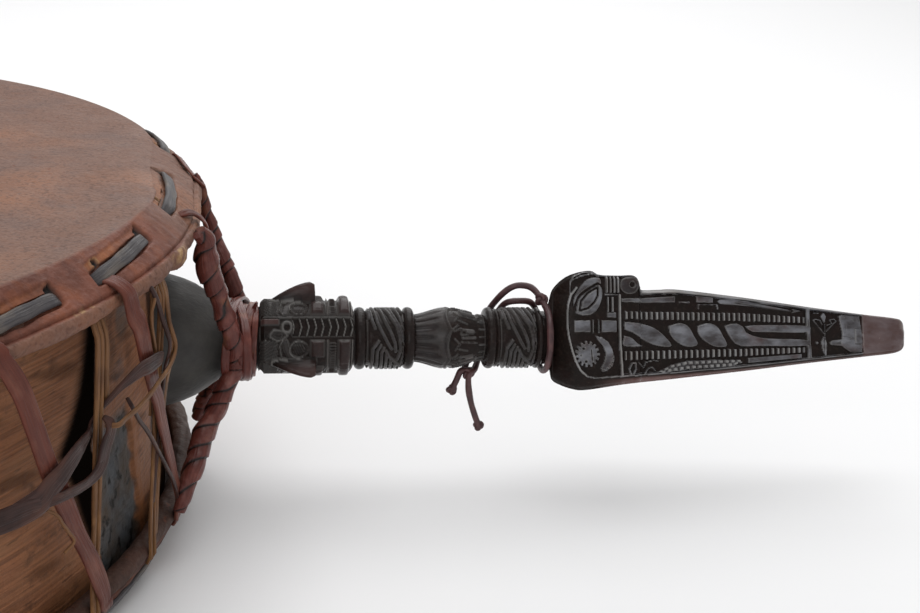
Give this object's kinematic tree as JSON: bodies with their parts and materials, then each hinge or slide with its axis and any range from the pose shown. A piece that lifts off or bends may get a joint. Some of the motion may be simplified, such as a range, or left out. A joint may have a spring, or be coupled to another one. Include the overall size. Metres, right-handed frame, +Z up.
{
  "type": "double-headed shaman's frame drum with carved dagger handle",
  "caption": "Flat round frame drum with a skin on both sides laced with cane, and a carved three-faced dagger handle standing out level from its side.",
  "frame": {"origin": "centre of the lower skin's flat underside, on which the drum lies", "axes": "+Z up along the drum's axis through both skins, +X out along the handle, +Y to the far side when the carved face is seen"},
  "size_m": [0.7707, 0.4673, 0.14],
  "materials": {
    "bentwood": "old bent wood, brown, worn and stained",
    "hide": "dry rawhide, grey-brown on the face and red-brown on the flap",
    "carved_wood": "carved hardwood, near black, satin from handling",
    "cane": "split cane, red-brown",
    "dark_cane": "split cane, dark grey-brown with orange edges",
    "binding": "rawhide strip wound tight, dark red-brown",
    "cord": "thin dark cord"
  },
  "bodies": {
    "root": {"frame": "bentwood", "upper_head": "hide", "lower_head": "hide", "handle": "carved_wood", "cane_lacing": "cane", "near_window_strip": "cane", "far_window_strip": "cane", "belt_lace": "dark_cane", "near_brace": "binding", "far_brace": "binding", "collar_wrap": "binding", "tie_cord": "cord"}
  },
  "joints": []
}
